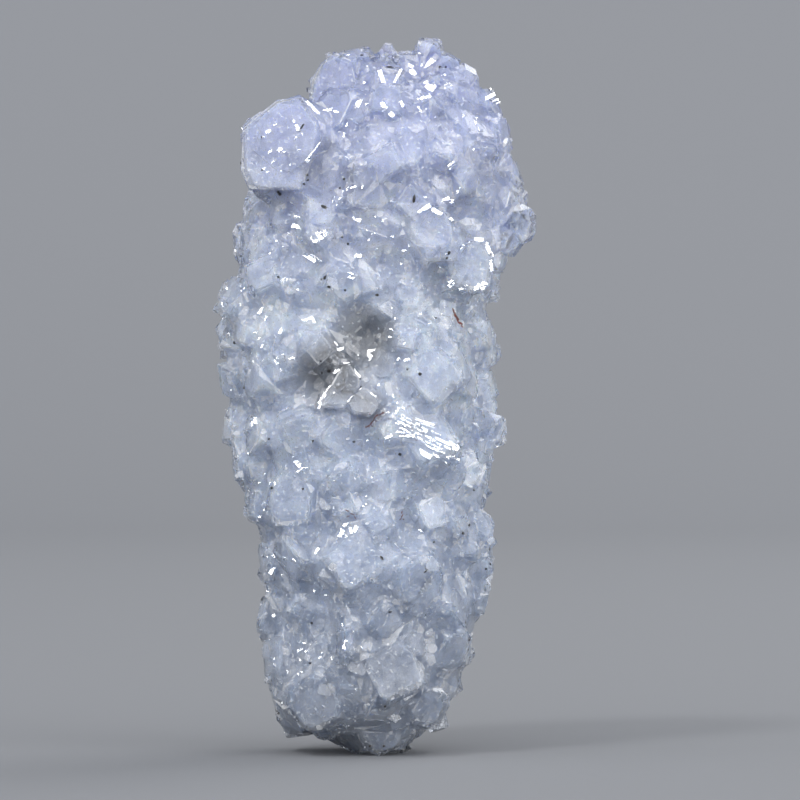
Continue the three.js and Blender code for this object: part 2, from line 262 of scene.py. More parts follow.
def crystal_mesh(cut, worn=0):
    """A crystal of half width 1 with its flat end at z = 0, its edges worn to narrow faces where asked."""
    bm = bmesh.new()
    bmesh.ops.create_cube(bm, size=2, matrix=Matrix.Translation((0, 0, -1)))
    bmesh.ops.scale(bm, vec=(1, 1, ROOT / 2), verts=bm.verts)
    for x, y in CORNERS:
        everything = bm.verts[:] + bm.edges[:] + bm.faces[:]
        plane = {"plane_co": (0, 0, cut), "plane_no": (x, y, PYRAMID_SLOPE)}
        bmesh.ops.bisect_plane(bm, geom=everything, clear_outer=True, **plane)
        bmesh.ops.holes_fill(bm, edges=[e for e in bm.edges if e.is_boundary])
    if worn:
        wear_edges(bm, worn)
    return with_finishes(mesh_from(bm, f"crystal_{cut}"))


forms = [crystal_mesh(cut) for cut in CUTS]
print("crystal forms with", [len(form.polygons) for form in forms], "faces")

# %% [markdown]
# ## One clear growth
# Crystals that grow into each other are one piece of mineral, with no walls left inside. Thousands of
# overlapping meshes would show each hidden wall through the clear faces and turn the inside grey. So a
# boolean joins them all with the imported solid. The manifold solver does it in a second or two.

# %% Get ready to join crystals
SAME_CORNER = 1e-6


def merged_copy(mesh, name):
    """A copy with one vertex at each corner, which the boolean below needs."""
    bm = bmesh.new()
    bm.from_mesh(mesh)
    bmesh.ops.remove_doubles(bm, verts=bm.verts, dist=SAME_CORNER)
    copy = bpy.data.meshes.new(name)
    bm.to_mesh(copy)
    bm.free()
    return with_finishes(copy)


def evaluated_mesh(thing, name):
    """The mesh that the modifiers make."""
    mesh = bpy.data.meshes.new_from_object(thing.evaluated_get(bpy.context.evaluated_depsgraph_get()))
    mesh.name = name
    return mesh


def joined_with_growth(mesh, name):
    """The mesh and every crystal in the growth as one closed mesh. The growth is empty afterwards."""
    body = link(bpy.data.objects.new(name, mesh))
    join = body.modifiers.new("join", "BOOLEAN")
    join.operation = "UNION"
    join.operand_type = "COLLECTION"
    join.collection = growth
    join.solver = "MANIFOLD"
    result = evaluated_mesh(body, name)
    bpy.data.batch_remove([body, *growth.objects])
    return result


def tree_of(mesh):
    return BVHTree.FromPolygons([v.co for v in mesh.vertices], [p.vertices[:] for p in mesh.polygons])


def grow(form, tip, turn, sizes):
    """Puts one crystal in the growth, with the middle of its flat end at the tip."""
    crystal = bpy.data.objects.new("crystal", form)
    crystal.matrix_world = Matrix.LocRotScale(tip, turn, sizes)
    growth.objects.link(crystal)


def turned(axis, twist):
    """The turn that stands a crystal along an axis, twisted about itself in radians."""
    return UP.rotation_difference(axis) @ Quaternion(UP, twist)


growth = bpy.data.collections.new("growth")
bpy.context.scene.collection.children.link(growth)
solid = merged_copy(packed.data, "solid")
print("packed solid", len(solid.polygons), "faces")

# %% [markdown]
# ## Plates that face the camera
# The pale knob on the upper left ends in a flat, crisp plate with a low growth step on it. A smooth disc
# stands behind it. Two small gables, the ring crystal and the arched one on the right, and a lath are
# plates too. Their outlines are measured on the photograph in pixels. Each plate is the hull of its outline
# and of the same outline further back, with a worn rim. "Ahead" is how far its face stands in front of the
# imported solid, in millimetres, and "tilt" is how much deeper it gets per unit to the right and downwards.

# %% Cut the plates
PLATES = [
    {
        "outline": [
            (243, 128), (262, 115), (277, 100), (302, 97), (318, 120), (322, 138), (311, 161), (300, 191),
            (249, 190), (241, 171),
        ],
        "ahead": 0.3, "tilt": (-0.1, -0.02), "worn": 0.16, "deep": 6,
    },
    {
        "outline": [
            (266, 118), (278, 103), (301, 100), (316, 121), (319, 138), (307, 160), (281, 174), (252, 150),
        ],
        "ahead": 0.42, "tilt": (-0.09, 0), "worn": 0.06, "deep": 2,
    },
    {
        "outline": [
            (309, 98), (311, 80), (321, 63), (336, 53), (351, 60), (358, 90), (346, 118), (322, 122),
        ],
        "ahead": 0.3, "tilt": (-0.25, -0.1), "worn": 0.2, "deep": 4,
    },
    {
        "outline": [
            (320, 407), (331, 385), (343, 363), (349, 363), (360, 379), (359, 388), (350, 401), (344, 410),
        ],
        "ahead": 1.5, "tilt": (0.1, -0.15), "worn": 0.3, "deep": 3,
    },
    {
        "outline": [
            (348, 404), (352, 395), (362, 387), (368, 389), (377, 397), (380, 405), (371, 416), (353, 415),
        ],
        "ahead": 0.9, "tilt": (-0.1, -0.2), "worn": 0.3, "deep": 3,
    },
    {
        "outline": [
            (446, 268), (453, 251), (466, 241), (480, 239), (490, 248), (494, 268), (489, 288), (470, 293),
            (449, 285),
        ],
        "ahead": 1.1, "tilt": (0.05, -0.08), "worn": 0.2, "deep": 4,
    },
    {
        "outline": [(421, 262), (420, 226), (427, 213), (439, 208), (450, 214), (456, 228), (455, 262)],
        "ahead": 0.1, "tilt": (0.02, -0.05), "worn": 0.15, "deep": 3,
    },
    {
        "outline": [(340, 628), (351, 625), (354, 655), (343, 658)],
        "ahead": 0.4, "tilt": (0.1, -0.1), "worn": 0.2, "deep": 3,
    },
]
FLAT_WITHIN = math.radians(1)
solid_tree = tree_of(solid)


def seen_at(px, py, tree):
    """The place on a surface that a pixel of the photograph shows, seen from the camera, and the way out."""
    direction = (at_pixel(px, py) - camera.location).normalized()
    return tree.ray_cast(camera.location, direction)[:2]


def in_plane(px, py, y):
    """The place that a pixel shows in the upright plane at depth y."""
    direction = at_pixel(px, py) - camera.location
    return camera.location + direction * ((y - camera.location.y) / direction.y)


for plate in PLATES:
    bm = bmesh.new()
    middle_x = sum(px for px, _ in plate["outline"]) / len(plate["outline"])
    middle_y = sum(py for _, py in plate["outline"]) / len(plate["outline"])
    front = seen_at(middle_x, middle_y, solid_tree)[0].y - plate["ahead"] * MM
    for px, py in plate["outline"]:
        lean = ((px - middle_x) * plate["tilt"][0] + (py - middle_y) * plate["tilt"][1]) * PIXEL
        bm.verts.new(in_plane(px, py, front + lean))
        bm.verts.new(in_plane(px, py, front + lean + plate["deep"] * MM))
    bmesh.ops.convex_hull(bm, input=bm.verts)
    bmesh.ops.dissolve_limit(bm, angle_limit=FLAT_WITHIN, verts=bm.verts, edges=bm.edges)
    wear_edges(bm, plate["worn"] * MM)
    growth.objects.link(bpy.data.objects.new("plate", with_finishes(mesh_from(bm, "plate"))))
print("plates", len(PLATES))

# %% [markdown]
# ## Filled gullies
# Between the large crystals the real surface is nearly level, because later crystals filled the gullies.
# The filling is made the way that a mould maker closes gaps: a copy of the solid is swollen until the
# gullies meet, then shrunk again by a little more, and by most on the upper part, whose crystals stand out
# further. An even remesh between the steps keeps the skin clean.

# %% Fill the gullies
SKIN_VOXEL = 0.8 * MM
SWELL_STEPS = 3
SWELL_STEP = 1.0 * MM
SHRINK_STEPS = 3
SHRINK_STEP_LOW = 1.03 * MM
SHRINK_STEP_HIGH = 1.2 * MM
ROUGH_FROM = 85 * MM
FILLING_KEPT = 0.12


def remeshed(mesh, name, voxel):
    """The mesh with even square faces."""
    thing = link(bpy.data.objects.new(name, mesh))
    remesh = thing.modifiers.new("remesh", "REMESH")
    remesh.mode = "VOXEL"
    remesh.voxel_size = voxel
    result = evaluated_mesh(thing, name)
    bpy.data.objects.remove(thing)
    return result


def moved_out(mesh, distance):
    """Moves every vertex along its normal, by a distance or by a function of its place."""
    ways_out = [vertex.normal.copy() for vertex in mesh.vertices]
    for vertex, way_out in zip(mesh.vertices, ways_out):
        vertex.co += way_out * (distance(vertex.co) if callable(distance) else distance)
    return mesh


def shrink_step(place):
    """A smaller step on the lower part, which is more level on the real cluster."""
    rough = min(1, max(0, place.z / ROUGH_FROM))
    return -(SHRINK_STEP_LOW + (SHRINK_STEP_HIGH - SHRINK_STEP_LOW) * rough)


def faceted(mesh, name, kept):
    """The mesh smoothed once, with fewer, larger faces."""
    thing = link(bpy.data.objects.new(name, mesh))
    thing.modifiers.new("smooth", "SMOOTH").iterations = 1
    decimate = thing.modifiers.new("facets", "DECIMATE")
    decimate.ratio = kept
    result = evaluated_mesh(thing, name)
    bpy.data.objects.remove(thing)
    return result


skin = remeshed(solid.copy(), "skin", SKIN_VOXEL)
for _ in range(SWELL_STEPS):
    skin = remeshed(moved_out(skin, SWELL_STEP), "skin", SKIN_VOXEL)
for _ in range(SHRINK_STEPS):
    skin = remeshed(moved_out(skin, shrink_step), "skin", SKIN_VOXEL)
filling = faceted(skin, "filling", FILLING_KEPT)
filling.materials.clear()
growth.objects.link(bpy.data.objects.new("filling", with_finishes(filling)))
ground = joined_with_growth(solid.copy(), "ground")
print("filling", len(filling.polygons), "faces; ground", len(ground.polygons))

# %% [markdown]
# ## Where the crystals sit
# Between the large crystals the real cluster is covered with smaller ones, down to a fraction of a
# millimetre. Each is seated on the ground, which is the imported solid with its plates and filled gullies: a
# random triangle is picked by its area, then a random point on it. So no crystal floats.

# %% Find seats on the ground
ground_tree = tree_of(ground)
ground.calc_loop_triangles()
seat_faces = [(triangle.vertices[:], triangle.normal.copy()) for triangle in ground.loop_triangles]
area_so_far = list(itertools.accumulate(triangle.area for triangle in ground.loop_triangles))


def random_seat(rng):
    """A point on the ground and the way out of it there."""
    chosen = min(bisect(area_so_far, rng.random() * area_so_far[-1]), len(area_so_far) - 1)
    corners, normal = seat_faces[chosen]
    a, b, c = (ground.vertices[i].co for i in corners)
    u, v = rng.random(), rng.random()
    if u + v > 1:
        u, v = 1 - u, 1 - v
    return a + (b - a) * u + (c - a) * v, normal.copy()


def random_lean(rng):
    return Vector((rng.uniform(-1, 1), rng.uniform(-1, 1), rng.uniform(-1, 1)))


print("area of the ground", round(area_so_far[-1] / MM**2), "square mm")

# %% [markdown]
# ## The showpieces
# Some large crystals of the photographed side have edges that shine as thin bright lines, because real
# edges are worn to very narrow faces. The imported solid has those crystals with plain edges. Each is grown
# again in its place, a hair larger and with worn edges, so the solid's own edge disappears inside it.

# %% Grow the showpieces again with worn edges
HAIR = 0.06 * MM
SHOWPIECES = [
    {
        "tip": (-16.5, -17, 111), "aim": (-0.25, -1, 0.1),
        "half": 6, "cut": 1.75, "twist": 22, "worn": 0.025,
    },
    {
        "tip": (-20, -15, 105.6), "aim": (-0.45, -1, -0.15),
        "half": 3.9, "cut": 2.05, "twist": 8, "worn": 0.04,
    },
    {
        "tip": (-8.2, -12, 116.6), "aim": (-0.6, -0.8, 0.45),
        "half": 3.7, "cut": 2.05, "twist": 40, "worn": 0.04,
    },
    {
        "tip": (21.3, -4, 117.8), "aim": (0.9, -0.3, 0.45),
        "half": 3, "cut": 1.55, "twist": 12, "worn": 0.05,
    },
    {
        "tip": (23.2, -5, 112), "aim": (1, -0.35, 0.15),
        "half": 3.2, "cut": 1.9, "twist": 70, "worn": 0.05,
    },
    {
        "tip": (9.6, -19.6, 94.5), "aim": (0.1, -0.9, 0.45),
        "half": 4, "cut": 1.55, "twist": 44, "worn": 0.05,
    },
    {
        "tip": (16.6, -15.6, 88.8), "aim": (0.25, -1, 0.05),
        "half": 3.7, "cut": 2, "twist": 10, "worn": 0.06,
    },
    {
        "tip": (-5.8, -20, 71), "aim": (0.05, -0.75, 0.8),
        "half": 2.4, "cut": 0.5, "twist": 45, "worn": 0.09,
    },
    {
        "tip": (-2, -19.5, 66), "aim": (0.1, -0.8, 0.6),
        "half": 2.6, "cut": 1.05, "twist": 38, "worn": 0.09,
    },
    {
        "tip": (5, -19.5, 75), "aim": (-0.2, -1, 0.1),
        "half": 2.8, "cut": 1.05, "twist": 24, "worn": 0.05,
    },
    {
        "tip": (-10, -20.6, 73), "aim": (0.35, -1, -0.1),
        "half": 3.2, "cut": 1.05, "twist": 16, "worn": 0.05,
    },
]
for piece in SHOWPIECES:
    axis = Vector(piece["aim"]).normalized()
    half = piece["half"] * MM + HAIR
    form = crystal_mesh(piece["cut"], piece["worn"])
    tip = Vector(piece["tip"]) * MM + axis * HAIR
    grow(form, tip, turned(axis, math.radians(piece["twist"])), (half, half, half))

# %% [markdown]
# ## Three sizes of small crystal
# Medium crystals are sunk almost flush, so that they part the ground into many flat faces. Fine ones stand
# out a little more, and sugar-fine ones roughen some patches only. Small sizes are the common ones, so a
# random number is squared before it picks a size. Broad bare faces and the foot stay free of crystals, and
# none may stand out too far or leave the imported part's box. Half widths and the most that a crystal may
# stand out are in millimetres, and "out" is a part of the half width.

# %% Scatter the small crystals
SIZES = [
    {
        "name": "medium", "count": 1900, "half": (1.3, 3.2), "lean": 0.4,
        "out": (0, 0.2), "patches": -1, "most": 0.75,
    },
    {
        "name": "fine", "count": 3400, "half": (0.5, 1.3), "lean": 0.5,
        "out": (0.05, 0.35), "patches": -0.15, "most": 0.6,
    },
    {
        "name": "sugar", "count": 3600, "half": (0.2, 0.55), "lean": 0.6,
        "out": (0.1, 0.5), "patches": 0.02, "most": 0.6,
    },
]
GROWTH_SEED = 11
FOOT_CLEAR = 2.5 * MM
PATCH_SCALE = 1 / (7 * MM)
BOX_MARGIN = 0.8 * MM
END_REACH = 0.8
CALM = [
    (286, 140, 9), (262, 178, 4), (395, 668, 4.5), (435, 375, 4), (430, 437, 4.5), (330, 115, 3.5),
    (328, 80, 5), (345, 366, 4.2), (366, 394, 3.6), (328, 376, 3.4), (470, 265, 3.6), (430, 240, 3.6),
    (515, 215, 7), (515, 180, 5), (500, 265, 5), (338, 95, 5),
]
calm_places = [(seen_at(px, py, ground_tree)[0], reach * MM) for px, py, reach in CALM]


def in_box(place):
    """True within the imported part's box and a little past it."""
    return all(low - BOX_MARGIN <= x <= high + BOX_MARGIN for x, low, high in zip(place, *cad_box))


def stands_out(tip, turn, half):
    """How far the flat end's furthest corner is outside the ground."""
    furthest = 0
    for x, y in CORNERS:
        corner = tip + turn @ Vector((x * END_REACH * half, y * END_REACH * half, 0))
        place, way_out, _, distance = ground_tree.find_nearest(corner)
        if (corner - place).dot(way_out) > 0:
            furthest = max(furthest, distance)
    return furthest


def is_calm(seat):
    """True on the broad bare faces of the photographed side."""
    return any((seat - middle).length < reach for middle, reach in calm_places)


rng = random.Random(GROWTH_SEED)
for size in SIZES:
    made = 0
    for _ in range(size["count"]):
        seat, normal = random_seat(rng)
        low, high = size["half"]
        half = (low + (high - low) * rng.random() ** 2) * MM
        axis = (normal + random_lean(rng) * size["lean"]).normalized()
        out = half * rng.uniform(*size["out"])
        form = rng.choice(forms)
        twist = rng.uniform(0, math.pi)
        if seat.z < FOOT_CLEAR + half or is_calm(seat) or not in_box(seat + axis * (out + half)):
            continue
        tip = seat + axis * out
        turn = turned(axis, twist)
        in_patch = noise.noise(seat * PATCH_SCALE) >= size["patches"]
        if in_patch and stands_out(tip, turn, half) <= size["most"] * MM:
            grow(form, tip, turn, (half, half, half))
            made += 1
    print(size["name"], "crystals", made)

# %% [markdown]
# ## Crystals and ground in one
# The crystals scattered so far are joined with the ground before the glints come, because each glint has to
# lie on the outermost surface. A ray from the camera through its pixel finds that surface.

# %% Join the crystals with the ground
covered = joined_with_growth(ground, "covered")
covered_tree = tree_of(covered)
print("covered ground", sum(len(p.vertices) - 2 for p in covered.polygons), "triangles")

# %% [markdown]
# ## Glints
# The photograph's sharpest lights are slivers of face that point half way between the lamp and the camera,
# so they mirror the lamp. Each is a thin, flat crystal turned to that direction. Its middle, slope, length
# and width are read off the photograph in pixels, and a little scatter keeps a few of them dull. Right of
# and below the pit a dense bundle of them makes the long bright streak, and tiny sparks are strewn in
# patches.

# %% Turn slivers towards the lamp
KEY_PLACE = Vector((-1.0, -1.38, 2.03))
GLINTS = [
    (488, 248, -65, 14, 4), (491, 262, -80, 22, 3), (483, 286, 60, 9, 7), (452, 266, 75, 9, 5),
    (479, 240, -10, 9, 4), (465, 244, 30, 9, 3), (466, 281, -70, 9, 5), (452, 279, 40, 10, 7),
    (459, 250, 50, 8, 3), (448, 201, -15, 12, 4), (467, 281, 85, 12, 4), (462, 288, 20, 6, 4),
    (452, 275, 70, 10, 7), (451, 285, 50, 6, 4), (457, 268, -40, 6, 4), (475, 289, 15, 7, 4),
    (450, 272, 78, 11, 5), (454, 281, 55, 8, 5), (481, 285, 25, 8, 5), (461, 247, 40, 7, 3),
    (466, 277, 80, 8, 3), (346, 524, 60, 8, 4), (342, 533, 75, 10, 5), (351, 530, -70, 14, 3),
    (356, 529, 75, 8, 4), (313, 108, -50, 20, 3), (330, 110, 5, 14, 3), (337, 112, -15, 7, 2),
    (313, 152, 60, 24, 1.5), (416, 419, -27, 40, 2), (402, 436, -8, 26, 3), (389, 437, 25, 8, 3),
    (398, 432, -15, 14, 2), (422, 429, -35, 14, 4), (424, 454, -35, 18, 5), (438, 439, -34, 30, 2.5),
    (397, 411, 70, 8, 2), (403, 408, -30, 6, 1.5), (331, 385, 62, 46, 1.4), (346, 363, 0, 7, 1.5),
    (355, 371, -55, 18, 2), (360, 383, 88, 8, 1.6), (337, 371, 42, 9, 3), (320, 405, 85, 9, 2),
    (350, 399, 62, 9, 1.6), (357, 391, 38, 12, 1.6), (372, 394, -40, 10, 1.5), (424, 209, 30, 14, 4.5),
    (437, 212, -35, 12, 4), (444, 200, 15, 12, 4), (451, 219, -45, 6, 2.5), (310, 258, -40, 15, 4.5),
    (315, 256, -43, 18, 1.8), (298, 227, -20, 13, 4.5), (299, 217, -15, 10, 1.5), (384, 106, -55, 9, 4),
    (390, 113, -50, 12, 4.5), (382, 78, -70, 18, 4), (398, 76, 70, 16, 2.5), (413, 73, -50, 8, 5),
    (297, 126, -70, 12, 3), (488, 98, 25, 16, 4), (494, 101, 20, 10, 2.5), (358, 256, -10, 8, 4),
    (349, 277, -25, 12, 2), (338, 350, 10, 13, 4), (335, 342, -55, 10, 1.5), (256, 421, 80, 7, 5),
    (252, 424, 60, 5, 3), (426, 98, 0, 11, 3.5), (280, 150, 50, 5, 4), (270, 152, 20, 4, 2),
    (261, 311, 60, 8, 3), (266, 318, 60, 6, 2), (358, 220, -30, 7, 4), (272, 571, 70, 8, 4),
    (407, 360, 10, 6, 3), (275, 615, 60, 6, 4), (268, 132, 30, 5, 3), (451, 164, 45, 8, 2.5),
    (389, 439, 60, 5, 4), (281, 331, 70, 7, 3), (269, 131, 40, 3, 1.4), (264, 137, 0, 2, 1.4),
    (294, 121, -70, 5, 1.6), (298, 127, -60, 5, 1), (284, 152, -30, 4, 1.6), (296, 138, 60, 4, 1),
    (299, 150, 0, 2, 1.2), (264, 169, 0, 2.5, 1.4), (268, 172, 20, 3, 1.2), (281, 171, -20, 2, 1.4),
    (290, 165, 0, 2.5, 1.4), (275, 125, 30, 3, 1.4), (302, 134, -40, 3, 1.4), (273, 162, 50, 3, 1.4),
    (353, 187, 10, 6, 3), (410, 66, -40, 8, 3), (317, 551, 60, 8, 2.5), (399, 359, 40, 5, 2),
    (427, 82, 30, 6, 3), (402, 104, -60, 7, 3), (350, 273, -30, 8, 2), (300, 470, 40, 7, 1.5),
    (420, 530, -40, 9, 2), (440, 620, 50, 7, 2), (345, 640, 88, 20, 1.5), (300, 650, 30, 6, 2),
]
FLAT_CUT = 2.5
STEEPEST_SCATTER = 0.02
GLINT_RISE = 0.06 * MM
RISE_BY_WIDTH = 0.03 * MM
STREAK = {
    "middle": (427, 438), "slope": -34, "stray": 4, "length": 74, "width": 26, "narrow_end": 0.4,
    "count": 60, "sliver_length": (5, 20), "sliver_width": (0.6, 2),
}
SPARKS = {"count": 2000, "half": (0.07, 0.17), "long": (1, 3), "patches": 0.08, "facing": 0.2}


def mirror_axis(place):
    """The way that a face at a place points when it mirrors the key lamp into the camera."""
    return ((KEY_PLACE - place).normalized() + (camera.location - place).normalized()).normalized()


def turn_along(axis, slope):
    """A turn with Z along an axis and X along a slope seen in the photograph."""
    along = Vector((math.cos(slope), 0, math.sin(slope)))
    along = (along - axis * along.dot(axis)).normalized()
    return Matrix((along, axis.cross(along), axis)).transposed().to_quaternion()


def mirror_turn(place, slope):
    """Such a turn to the mirror direction, with a little scatter."""
    axis = (mirror_axis(place) + random_lean(rng) * STEEPEST_SCATTER).normalized()
    return turn_along(axis, slope)


def grow_sliver(px, py, slope, length, width):
    """A sliver at a pixel of the photograph. Its slope is in degrees, and its sizes are in pixels."""
    place = seen_at(px, py, covered_tree)[0]
    if place:
        sizes = (length * PIXEL / 2, width * PIXEL / 2, width * PIXEL)
        rise = GLINT_RISE + RISE_BY_WIDTH * width
        grow(flat_form, place + mirror_axis(place) * rise, mirror_turn(place, math.radians(slope)), sizes)


flat_form = crystal_mesh(FLAT_CUT)
for glint in GLINTS:
    grow_sliver(*glint)
slope = math.radians(STREAK["slope"])
narrow = STREAK["narrow_end"]
for _ in range(STREAK["count"]):
    along = rng.uniform(-1, 1) * STREAK["length"] / 2
    breadth = narrow + (1 - narrow) * (along / STREAK["length"] + 0.5)
    across = rng.uniform(-1, 1) * STREAK["width"] / 2 * breadth
    px = STREAK["middle"][0] + along * math.cos(slope) + across * math.sin(slope)
    py = STREAK["middle"][1] - along * math.sin(slope) + across * math.cos(slope)
    own_slope = STREAK["slope"] + rng.gauss(0, STREAK["stray"])
    length = rng.uniform(*STREAK["sliver_length"])
    width = rng.uniform(*STREAK["sliver_width"])
    grow_sliver(px, py, own_slope, length, width)
for _ in range(SPARKS["count"]):
    seat, normal = covered_tree.find_nearest(random_seat(rng)[0])[:2]
    half = rng.uniform(*SPARKS["half"]) * MM
    turn = mirror_turn(seat, rng.uniform(0, math.pi))
    long = rng.uniform(*SPARKS["long"])
    facing = normal.dot(mirror_axis(seat)) > SPARKS["facing"]
    in_patch = noise.noise(seat * PATCH_SCALE) > SPARKS["patches"]
    if facing and in_patch and seat.z > FOOT_CLEAR and not is_calm(seat):
        grow(flat_form, seat + mirror_axis(seat) * half, turn, (half * long, half, half * 2))

# %% [markdown]
# ## One closed skin
# The last join makes the piece that is seen. Every polygon then gets the lustre of the crystal face that it
# lies in: polygons in one plane share a random number, and a wide face strays less from the middle than a
# small one does, because growth evens out a wide face.

# %% Join the slivers too
SAME_DIRECTION = 0.01
SAME_PLANE = 0.05 * MM
SMALL_FACE = 2.2 * MM**2
LUSTRE_SEED = 3


def plane_of(polygon):
    """The same numbers for all the polygons of one flat face."""
    way_out = polygon.normal
    direction = (round(x / SAME_DIRECTION) for x in way_out)
    return (*direction, round(way_out.dot(polygon.center) / SAME_PLANE))


def lustres(mesh):
    """A random lustre for each flat crystal face, from 0 to 1 on small faces and nearer 0.5 on wide ones."""
    planes = [plane_of(polygon) for polygon in mesh.polygons]
    areas = {}
    for plane, polygon in zip(planes, mesh.polygons):
        areas[plane] = areas.get(plane, 0) + polygon.area
    lustre_rng = random.Random(LUSTRE_SEED)
    by_plane = {}
    for plane, area in areas.items():
        swing = min(1, math.sqrt(SMALL_FACE / area)) if area else 1
        by_plane[plane] = 0.5 + (lustre_rng.random() - 0.5) * swing
    return [by_plane[plane] for plane in planes]


joined = joined_with_growth(covered, "clear_growth")
bpy.data.collections.remove(growth)
clear = link(bpy.data.objects.new("clear_growth", joined))
joined.attributes.new(LUSTRE, "FLOAT", "FACE").data.foreach_set("value", lustres(joined))
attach(clear, "root")
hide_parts("apophyllite_cluster")
print("clear growth", sum(len(p.vertices) - 2 for p in joined.polygons), "triangles")

# %% [markdown]
# ## The cloudy roots
# The roots of the crystals are milky with fine cracks and bubbles, and that is what gives the cluster its
# pale body. They are a second mesh inside the clear one: the ground, remeshed evenly, drawn inwards by a
# depth that changes from place to place, and then broken into flat facets. The clearest crystals of the
# photograph get more depth, so that one looks further into them. A corner that the facets leave too near
# the clear surface is pushed in, so the roots never show bare.

# %% Draw the cloudy roots inwards
CLOUD_DEPTH = 0.78 * MM
CLOUD_LEAST = 0.35 * MM
CLOUD_SPREAD = 1.0 * MM
CLOUD_SCALE = 1 / (5 * MM)
CLOUD_KEPT = 0.3
CLEAR = [
    (515, 215, 9, 2.2), (503, 175, 6, 1.8), (505, 245, 5, 2), (488, 437, 6, 3), (435, 590, 6, 3),
    (470, 265, 4, 2.5), (345, 363, 4, 2), (366, 392, 4, 2), (330, 190, 5, 2), (385, 60, 6, 2),
    (430, 240, 4, 1.5), (345, 372, 6, 2),
]
clear_places = [(seen_at(px, py, ground_tree)[0], reach * MM, more * MM) for px, py, reach, more in CLEAR]


def cloud_depth(place):
    """The move inwards that takes a place on the surface to where the cloudy part starts."""
    depth = max(CLOUD_LEAST, CLOUD_DEPTH + CLOUD_SPREAD * noise.noise(place * CLOUD_SCALE))
    for middle, reach, more in clear_places:
        depth += more * max(0, 1 - (place - middle).length / reach)
    return -depth


core = moved_out(remeshed(ground.copy(), "cloudy_roots", SKIN_VOXEL), cloud_depth)
core = faceted(core, "cloudy_roots", CLOUD_KEPT)
for vertex in core.vertices:
    place, way_out, _, _ = ground_tree.find_nearest(vertex.co)
    if (vertex.co - place).dot(way_out) > -CLOUD_LEAST:
        vertex.co = place - way_out * CLOUD_LEAST
cloudy = link(bpy.data.objects.new("cloudy_roots", core))
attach(cloudy, "root")
print("cloudy roots", len(core.polygons), "faces")

# %% [markdown]
# ## The cloudy finish
# The cloudy roots scatter light inside them. Their colour is a bluish white, and finer noise in it makes
# wisps and veils. Towards the foot it turns darker and greyer, which is painted shade, and at the crest it
# turns lilac and a little darker, which is painted lilac light from above that also tones down the lamp's
# light there. A few places are darkened further by painted shade, above all the grey-brown pit in the
# middle, the crevices beside the knob and two lower faces that stand out too bright; on the clear crystals
# of the right side the darkening is a painted dark reflection. So the colour is multiplied by a soft spot at
# each.

# %% Give the cloudy roots their finish
# Spots of painted shade: the pit, the crevices beside the knob and faces that stand too bright; on the right
# they paint a dark reflection in the clear crystals.
SHADES = [
    (329, 373, 8, (0.31, 0.3, 0.275)), (366, 340, 8, (0.46, 0.45, 0.425)),
    (372, 400, 5.5, (0.6, 0.58, 0.56)), (512, 222, 6, (0.64, 0.71, 0.82)),
    (487, 432, 4.5, (0.7, 0.76, 0.86)), (350, 182, 6, (0.82, 0.82, 0.8)),
    (316, 170, 3.5, (0.6, 0.6, 0.62)), (328, 147, 3, (0.66, 0.66, 0.68)),
    (395, 668, 6.5, (0.6, 0.63, 0.68)), (362, 565, 6, (0.78, 0.81, 0.85)),
]
SHADE_CORE = 0.4
# Bluish white body colour, darker and greyer towards the foot as painted shade, and lilac and a little
# darker at the crest as painted light from above.
COLOUR_AND_PAINTED_LIGHT_BY_HEIGHT = [
    (0.0, (0.42, 0.46, 0.54)), (0.28, (0.69, 0.755, 0.885)), (0.45, (0.8, 0.855, 0.98)),
    (0.62, (0.82, 0.87, 0.985)), (0.78, (0.77, 0.81, 1.0)), (0.94, (0.56, 0.6, 0.83)),
]
TOP = 130 * MM
WISPS = {"scale": 260, "detail": 9, "roughness": 0.62}
WISP_TONES = [(0.38, (0.68, 0.71, 0.76)), (0.58, (1, 1, 1))]
CLOUDY_VALUES = {
    "Subsurface Weight": 1.0,
    "Subsurface Radius": (0.8, 0.9, 1.0),
    "Subsurface Scale": 2.0 * MM,
    "Roughness": 0.35,
    "IOR": 1.2,
}
WHITE = (1, 1, 1)

material, nodes, links, shader = new_material("cloudy_apophyllite")
for socket, value in CLOUDY_VALUES.items():
    shader.inputs[socket].default_value = value
coordinates = nodes.new("ShaderNodeTexCoord")
split = nodes.new("ShaderNodeSeparateXYZ")
links.new(coordinates.outputs["Object"], split.inputs["Vector"])
height = in_range(nodes, links, split.outputs["Z"], (0, TOP), (0, 1))
colour_and_painted_light_by_height = ramp(nodes, links, height, COLOUR_AND_PAINTED_LIGHT_BY_HEIGHT)
cloud = ramp(nodes, links, object_noise(nodes, links, **WISPS), WISP_TONES)


def multiplied(first, second):
    mix = nodes.new("ShaderNodeMix")
    mix.data_type = "RGBA"
    mix.blend_type = "MULTIPLY"
    mix.inputs["Factor"].default_value = 1
    links.new(first, mix.inputs["A"])
    links.new(second, mix.inputs["B"])
    return mix.outputs["Result"]


base = multiplied(colour_and_painted_light_by_height, cloud)
# Each spot multiplies the colour by its painted shade, fully inside its core and fading out to its reach.
for px, py, reach, shade in SHADES:
    away = nodes.new("ShaderNodeVectorMath")
    away.operation = "DISTANCE"
    links.new(coordinates.outputs["Object"], away.inputs[0])
    away.inputs[1].default_value = seen_at(px, py, ground_tree)[0]
    span = (reach * MM * SHADE_CORE, reach * MM)
    distance = in_range(nodes, links, away.outputs["Value"], span, (0, 1))
    base = multiplied(base, ramp(nodes, links, distance, [(0, shade), (1, WHITE)]))
links.new(base, shader.inputs["Base Color"])
cloudy.data.materials.clear()
cloudy.data.materials.append(material)
print("materials", [m.name for m in bpy.data.materials])

# %% [markdown]
# ## Dark grains
# Black grains of another mineral, about half a millimetre wide, sit on the crystals and in their gullies.
# Each is a rough little ball, sunk half way into the surface where the photograph shows it, and a few are
# short rods. More are strewn over the sides that the photograph hides.

